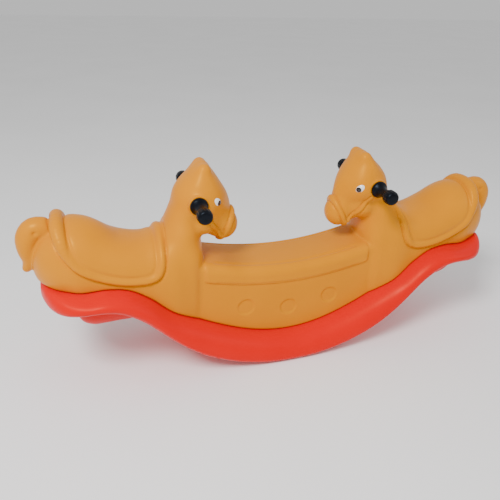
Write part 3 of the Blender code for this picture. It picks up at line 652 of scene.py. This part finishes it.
def read_field(field, points, origin, cell):
    """Trilinear reading of a sampled field."""
    at = (points - origin) / cell
    top = np.array(field.shape) - 2
    base = np.clip(np.floor(at).astype(np.int64), 0, top)
    f = at - base
    total = np.zeros(len(points))
    for i in (0, 1):
        for j in (0, 1):
            for k in (0, 1):
                weight = (abs(1 - i - f[:, 0]) * abs(1 - j - f[:, 1]) * abs(1 - k - f[:, 2]))
                total += weight * field[base[:, 0] + i, base[:, 1] + j, base[:, 2] + k]
    return total


def slope_at(vertices, field, origin, cell):
    slope = np.empty_like(vertices)
    for axis in range(3):
        step = np.zeros(3)
        step[axis] = cell * SLOPE_STEP
        ahead = read_field(field, vertices + step, origin, cell)
        behind = read_field(field, vertices - step, origin, cell)
        slope[:, axis] = (ahead - behind) / (2 * step[axis])
    return slope


def settle(vertices, field, origin, cell, rounds=3):
    """Draws vertices on to the zero level, along the slope."""
    for _ in range(rounds):
        level = read_field(field, vertices, origin, cell)
        slope = slope_at(vertices, field, origin, cell)
        steep = np.maximum((slope ** 2).sum(axis=1), LEAST_SLOPE_SQUARED)
        vertices = vertices - slope * np.clip(level / steep, -cell, cell)[:, None]
    return vertices


def skin_mesh(quarter, low_z):
    field, origin = block(quarter, low_z)
    vertices, faces = surface_net(field, origin, CELL)
    vertices = settle(vertices, field, origin, CELL)
    outwards = slope_at(vertices, field, origin, CELL)
    outwards /= np.linalg.norm(outwards, axis=1)[:, None] + TINY
    return vertices, faces, outwards


def block(quarter, low_z):
    """The whole field of a sampled quarter, and the place of its first sample."""
    field = whole(quarter)
    half_x = (field.shape[0] - 1) / 2 * CELL
    half_y = (field.shape[1] - 1) / 2 * CELL
    return field, np.array((-half_x, -half_y, low_z))


def drop_on_skin(points, direction, quarter, low_z, rounds=12):
    """Moves points along a direction until they lie on the surface."""
    field, origin = block(quarter, low_z)
    for _ in range(rounds):
        level = read_field(field, points, origin, CELL)
        points = points - direction * np.clip(level, -CELL, CELL)[:, None]
    return points


# ---------------------------------------------------------------- mesh tools
def add_object(name, vertices, faces, material, smooth_angle):
    data = bpy.data.meshes.new(name)
    data.from_pydata([tuple(v) for v in vertices], [], [tuple(int(i) for i in f) for f in faces])
    data.update()
    data.shade_smooth()
    data.set_sharp_from_angle(angle=math.radians(smooth_angle))
    thing = bpy.data.objects.new(name, data)
    bpy.context.collection.objects.link(thing)
    data.materials.append(material)
    return thing


def ring_faces(rings, count):
    """Quads between rings of equal point counts, with a cap on the first and the last."""
    faces = []
    for r in range(rings - 1):
        for i in range(count):
            j = (i + 1) % count
            faces.append((r * count + i, r * count + j, (r + 1) * count + j, (r + 1) * count + i))
    faces.append(tuple(reversed(range(count))))
    faces.append(tuple((rings - 1) * count + i for i in range(count)))
    return faces


def face_outwards(thing):
    mesh = bmesh.new()
    mesh.from_mesh(thing.data)
    bmesh.ops.recalc_face_normals(mesh, faces=mesh.faces)
    mesh.to_mesh(thing.data)
    mesh.free()
    return thing


# ---------------------------------------------------------------- materials
NOISE_LOW = 0.3             # noise seldom goes beyond these, so they are the ends of every range
NOISE_HIGH = 0.7
YELLOW = (0.70, 0.247, 0.0)
YELLOW_SHADE = (0.65, 0.226, 0.0)
YELLOW_SHEEN = (1.0, 0.55, 0.06)
RED = (0.74, 0.002, 0.001)
RED_SHADE = (0.70, 0.001, 0.001)
RED_SHEEN = (1.0, 0.25, 0.12)
MOULDED_ROUGHNESS = 0.34
GRIP_BLACK = (0.005, 0.005, 0.007)
GRIP_SHADE = (0.002, 0.002, 0.003)
GRIP_SHEEN = (0.62, 0.78, 1.0)
EYE_WHITE = (0.88, 0.88, 0.86)
EYE_SHADE = (0.82, 0.82, 0.80)
PUPIL_BLACK = (0.008, 0.008, 0.009)
PUPIL_SHADE = (0.005, 0.005, 0.006)
ZINC = (0.66, 0.66, 0.67)
ZINC_SHADE = (0.50, 0.50, 0.50)
FLOOR_GREY = (0.96, 0.96, 0.96)
FLOOR_SHADE = (0.93, 0.93, 0.93)


def node_material(name):
    material = bpy.data.materials.new(name)
    material.use_nodes = True
    tree = material.node_tree
    return material, tree, tree.nodes["Principled BSDF"]


def add_noise(tree, scale, detail, roughness=0.5):
    place = tree.nodes.new("ShaderNodeTexCoord")
    noise = tree.nodes.new("ShaderNodeTexNoise")
    noise.inputs["Scale"].default_value = scale
    noise.inputs["Detail"].default_value = detail
    noise.inputs["Roughness"].default_value = roughness
    tree.links.new(place.outputs["Object"], noise.inputs["Vector"])
    return noise.outputs["Fac"]


def add_ramp(tree, fac, low, high):
    ramp = tree.nodes.new("ShaderNodeValToRGB")
    ramp.color_ramp.elements[0].position = NOISE_LOW
    ramp.color_ramp.elements[1].position = NOISE_HIGH
    ramp.color_ramp.elements[0].color = (*low, 1.0)
    ramp.color_ramp.elements[1].color = (*high, 1.0)
    tree.links.new(fac, ramp.inputs["Fac"])
    return ramp.outputs["Color"]


def add_range(tree, fac, low, high):
    spread = tree.nodes.new("ShaderNodeMapRange")
    spread.inputs["From Min"].default_value = NOISE_LOW
    spread.inputs["From Max"].default_value = NOISE_HIGH
    spread.inputs["To Min"].default_value = low
    spread.inputs["To Max"].default_value = high
    tree.links.new(fac, spread.inputs["Value"])
    return spread.outputs["Result"]


def add_bump(tree, fac, strength, distance, below=None):
    bump = tree.nodes.new("ShaderNodeBump")
    bump.inputs["Strength"].default_value = strength
    bump.inputs["Distance"].default_value = distance
    tree.links.new(fac, bump.inputs["Height"])
    if below is not None:
        tree.links.new(below, bump.inputs["Normal"])
    return bump.outputs["Normal"]


def moulded_plastic(name, colour, shade, roughness, sheen):
    """Rotomoulded polyethylene: faint colour drift, satin sheen, fine orange peel."""
    material, tree, shader = node_material(name)
    drift = add_noise(tree, scale=7.0, detail=4.0)
    tree.links.new(add_ramp(tree, drift, shade, colour), shader.inputs["Base Color"])
    cloud = add_noise(tree, scale=38.0, detail=5.0, roughness=0.6)
    satin = add_range(tree, cloud, low=roughness - 0.05, high=roughness + 0.06)
    tree.links.new(satin, shader.inputs["Roughness"])
    wave = add_bump(tree, add_noise(tree, scale=24.0, detail=2.0), strength=0.18, distance=0.002)
    pores = add_noise(tree, scale=850.0, detail=2.0)
    peel = add_bump(tree, pores, strength=0.10, distance=0.0004, below=wave)
    tree.links.new(peel, shader.inputs["Normal"])
    shader.inputs["Specular IOR Level"].default_value = 0.30
    shader.inputs["Specular Tint"].default_value = (*sheen, 1.0)
    return material


def grip_plastic(name):
    """Soft black plastic with a fine grain."""
    material, tree, shader = node_material(name)
    speck = add_noise(tree, scale=60.0, detail=4.0)
    tree.links.new(add_ramp(tree, speck, GRIP_SHADE, GRIP_BLACK), shader.inputs["Base Color"])
    cloud = add_noise(tree, scale=120.0, detail=3.0)
    tree.links.new(add_range(tree, cloud, low=0.30, high=0.40), shader.inputs["Roughness"])
    grain = add_bump(tree, add_noise(tree, scale=1400.0, detail=2.0), strength=0.12, distance=0.0003)
    tree.links.new(grain, shader.inputs["Normal"])
    shader.inputs["Specular IOR Level"].default_value = 0.15
    shader.inputs["Specular Tint"].default_value = (*GRIP_SHEEN, 1.0)
    return material


def eye_plastic(name, colour, shade):
    """Glossy plastic of the eyes and the pupils."""
    material, tree, shader = node_material(name)
    drift = add_noise(tree, scale=90.0, detail=3.0)
    tree.links.new(add_ramp(tree, drift, shade, colour), shader.inputs["Base Color"])
    cloud = add_noise(tree, scale=200.0, detail=2.0)
    tree.links.new(add_range(tree, cloud, low=0.14, high=0.22), shader.inputs["Roughness"])
    grain = add_bump(tree, add_noise(tree, scale=500.0, detail=2.0), strength=0.05, distance=0.0002)
    tree.links.new(grain, shader.inputs["Normal"])
    shader.inputs["Coat Weight"].default_value = 0.3
    return material


def plated_steel(name):
    """Zinc-plated steel of the tubes, bolts, washers and inserts."""
    material, tree, shader = node_material(name)
    streak = add_noise(tree, scale=260.0, detail=5.0, roughness=0.65)
    tree.links.new(add_ramp(tree, streak, ZINC_SHADE, ZINC), shader.inputs["Base Color"])
    tree.links.new(add_range(tree, streak, low=0.24, high=0.42), shader.inputs["Roughness"])
    grain = add_bump(tree, add_noise(tree, scale=900.0, detail=3.0), strength=0.10, distance=0.0002)
    tree.links.new(grain, shader.inputs["Normal"])
    shader.inputs["Metallic"].default_value = 1.0
    return material


# ---------------------------------------------------------------- pieces
def yellow_body(material, quarter):
    vertices, faces, outwards = skin_mesh(quarter, SKIN_Z[0])
    lift = relief(np.abs(vertices[:, 0]), np.abs(vertices[:, 1]), vertices[:, 2])
    vertices = vertices + outwards * lift[:, None]
    body = add_object("body_skin", vertices, faces, material, SKIN_ANGLE)
    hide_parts("upper_body")
    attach(body, "body")


def red_base(material):
    vertices, faces, _ = skin_mesh(base_field(), BASE_Z[0])
    base = add_object("base_skin", vertices, faces, material, SKIN_ANGLE)
    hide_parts("rocker_base")
    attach(base, "body")


def grip(side, hand, material):
    """Domed flange, waist and ribbed knob, standing on its cheek."""
    node = f"grip_{side}_{hand}"
    low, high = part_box(node)
    outwards = 1 if low[1] > 0 else -1
    face = low[1] if outwards > 0 else high[1]
    centre_x, centre_z = (low[0] + high[0]) / 2, (low[2] + high[2]) / 2
    profile = list(GRIP_BORE) + smooth_outline(GRIP_OUTLINE, GRIP_STEPS)
    vertices = []
    for radius, away in profile:
        ribbed = smoothstep(*RIB_START, away) * (1 - smoothstep(*RIB_STOP, away))
        for i in range(GRIP_SIDES):
            angle = 2 * math.pi * i / GRIP_SIDES
            groove = RIB_DEPTH * ribbed * (0.5 + 0.5 * math.cos(GRIP_RIBS * angle)) ** RIB_SHARPNESS
            r = radius - groove
            x = centre_x + r * math.cos(angle)
            z = centre_z + r * math.sin(angle)
            vertices.append((x, face + outwards * away, z))
    faces = ring_faces(len(profile), GRIP_SIDES)
    piece = add_object(f"grip_skin_{side}_{hand}", vertices, faces, material, PIECE_ANGLE)
    face_outwards(piece)
    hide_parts(node)
    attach(piece, "handle_" + side)


def eye_height(p, q):
    """How far an eye stands proud of the cheek at a place in its own plane."""
    share = (p / EYE_HALF_LENGTH) ** 2 + (q / EYE_HALF_WIDTH) ** 2
    return EYE_DOME * np.sqrt(np.clip(1 - share, 0, 1)) - EYE_SINK


def eye_patch(name, place, sizes, shift, rise, skin, material):
    """Lens that follows the cheek: rings over the dome, then under the skin to a flat back."""
    origin, along, across, out = place
    shares = [EYE_MIDDLE] + [math.sin(math.pi / 2 * k / (EYE_RINGS - 1)) for k in range(1, EYE_RINGS)]
    angles = np.arange(EYE_SIDES) * 2 * math.pi / EYE_SIDES
    rows, heights = [], []
    for share in shares:
        p = shift + share * sizes[0] * np.cos(angles)
        q = share * sizes[1] * np.sin(angles)
        rows.append((p, q))
        heights.append(eye_height(p, q) + rise * math.sqrt(max(1 - share * share, 0)))
    for share in (1.0, EYE_MIDDLE):
        rows.append((shift + share * sizes[0] * np.cos(angles), share * sizes[1] * np.sin(angles)))
        heights.append(np.full(EYE_SIDES, -EYE_ROOT))
    p = np.concatenate([row[0] for row in rows])
    q = np.concatenate([row[1] for row in rows])
    height = np.concatenate(heights)
    plane = origin + along * p[:, None] + across * q[:, None]
    on_skin = drop_on_skin(plane, out, skin, SKIN_Z[0])
    vertices = on_skin + out * height[:, None]
    piece = add_object(name, vertices, ring_faces(len(rows), EYE_SIDES), material, PIECE_ANGLE)
    return face_outwards(piece)


def eye(side, hand, white, ink, skin):
    """An eye and its pupil on one cheek, turned towards the nose and slanted down to it."""
    low, high = (np.array(corner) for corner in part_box(f"eye_{side}_{hand}"))
    origin = (low + high) / 2
    towards = -1 if origin[0] > 0 else 1
    offside = 1 if origin[1] > 0 else -1
    out = np.array((towards * EYE_FACING[0], offside * EYE_FACING[1], EYE_FACING[2]))
    out /= np.linalg.norm(out)
    nose = np.cross((0, 0, 1), out)
    nose *= towards / (np.linalg.norm(nose) * (1 if nose[0] > 0 else -1))
    up = np.cross(out, nose)
    up *= 1 if up[2] > 0 else -1
    slant = math.radians(EYE_SLANT)
    along = nose * math.cos(slant) - up * math.sin(slant)
    across = nose * math.sin(slant) + up * math.cos(slant)
    place = (origin, along, across, out)
    sizes = (EYE_HALF_LENGTH, EYE_HALF_WIDTH)
    ball = eye_patch(f"eye_lens_{side}_{hand}", place, sizes, 0.0, 0.0, skin, white)
    dot = eye_patch(f"pupil_lens_{side}_{hand}", place, PUPIL_SIZES, PUPIL_SHIFT, PUPIL_RISE, skin, ink)
    for piece, node, slot in ((ball, "eye", "eye"), (dot, "pupil", "pupil")):
        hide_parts(f"{node}_{side}_{hand}")
        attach(piece, "body")


def main():
    yellow = moulded_plastic("yellow_polyethylene", YELLOW, YELLOW_SHADE, MOULDED_ROUGHNESS, YELLOW_SHEEN)
    red = moulded_plastic("red_polyethylene", RED, RED_SHADE, MOULDED_ROUGHNESS, RED_SHEEN)
    black = grip_plastic("black_grip_plastic")
    white = eye_plastic("white_eye_plastic", EYE_WHITE, EYE_SHADE)
    ink = eye_plastic("black_pupil_plastic", PUPIL_BLACK, PUPIL_SHADE)
    steel = plated_steel("zinc_plated_steel")
    skin = skin_field()
    yellow_body(yellow, skin)
    red_base(red)
    for side in ("left", "right"):
        for hand in ("nearside", "offside"):
            grip(side, hand, black)
            eye(side, hand, white, ink, skin)
    for name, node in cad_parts.items():
        if name.startswith(("bolt", "washer", "threaded_insert", "handle_tube")):
            node.data.materials.clear()
            node.data.materials.append(steel)


# ---------------------------------------------------------------- stage
CAMERA_AZIMUTH = -19.39
CAMERA_ELEVATION = 26.68
CAMERA_ROLL = 2.0
CAMERA_DISTANCE = 1.5776
CAMERA_TARGET = (-0.0427, 0.0, 0.310)
CAMERA_LENS = 38.64
CAMERA_SHIFT = (-0.0344, -0.0068)
SENSOR_WIDTH = 36.0
FLOOR_HALF_SIZE = 14.0
FLOOR_ROUGHNESS = 0.9
SKY_STRENGTH = 0.66
LIGHT_AIM = (0, 0, 0.3)
KEY_PLACE = (-1.5, -1.5, 2.7)
KEY_POWER = 105.0
KEY_SIZE = 0.9
FILL_PLACE = (2.2, -1.2, 2.0)
FILL_POWER = 12.0
FILL_SIZE = 1.6


def make_camera():
    azimuth = math.radians(CAMERA_AZIMUTH)
    elevation = math.radians(CAMERA_ELEVATION)
    level = math.cos(elevation)
    back = Vector((math.sin(azimuth) * level, -math.cos(azimuth) * level, math.sin(elevation)))
    data = bpy.data.cameras.new("camera")
    camera = bpy.data.objects.new("camera", data)
    bpy.context.collection.objects.link(camera)
    roll = Matrix.Rotation(math.radians(CAMERA_ROLL), 4, 'Z')
    turn = back.to_track_quat('Z', 'Y').to_matrix().to_4x4() @ roll
    camera.matrix_world = Matrix.Translation(Vector(CAMERA_TARGET) + back * CAMERA_DISTANCE) @ turn
    data.sensor_width = SENSOR_WIDTH
    data.lens = CAMERA_LENS
    data.shift_x, data.shift_y = CAMERA_SHIFT
    bpy.context.scene.camera = camera


def soft_light(name, place, aim, power, size):
    data = bpy.data.lights.new(name, 'AREA')
    data.energy = power
    data.size = size
    light = bpy.data.objects.new(name, data)
    bpy.context.collection.objects.link(light)
    light.location = place
    light.rotation_euler = (Vector(place) - Vector(aim)).to_track_quat('Z', 'Y').to_euler()


def make_stage():
    floor_material, tree, shader = node_material("studio_floor")
    drift = add_noise(tree, scale=1.5, detail=2.0)
    tree.links.new(add_ramp(tree, drift, FLOOR_SHADE, FLOOR_GREY), shader.inputs["Base Color"])
    shader.inputs["Roughness"].default_value = FLOOR_ROUGHNESS
    size = FLOOR_HALF_SIZE
    corners = [(-size, -size, 0), (size, -size, 0), (size, size, 0), (-size, size, 0)]
    floor = add_object("studio_floor_plane", corners, [(0, 1, 2, 3)], floor_material, FLOOR_ANGLE)
    world = bpy.data.worlds.new("studio")
    bpy.context.scene.world = world
    world.use_nodes = True
    world.node_tree.nodes["Background"].inputs["Color"].default_value = (1.0, 1.0, 1.0, 1.0)
    world.node_tree.nodes["Background"].inputs["Strength"].default_value = SKY_STRENGTH
    soft_light("key", KEY_PLACE, LIGHT_AIM, KEY_POWER, KEY_SIZE)
    soft_light("fill", FILL_PLACE, LIGHT_AIM, FILL_POWER, FILL_SIZE)


main()
make_stage()
make_camera()
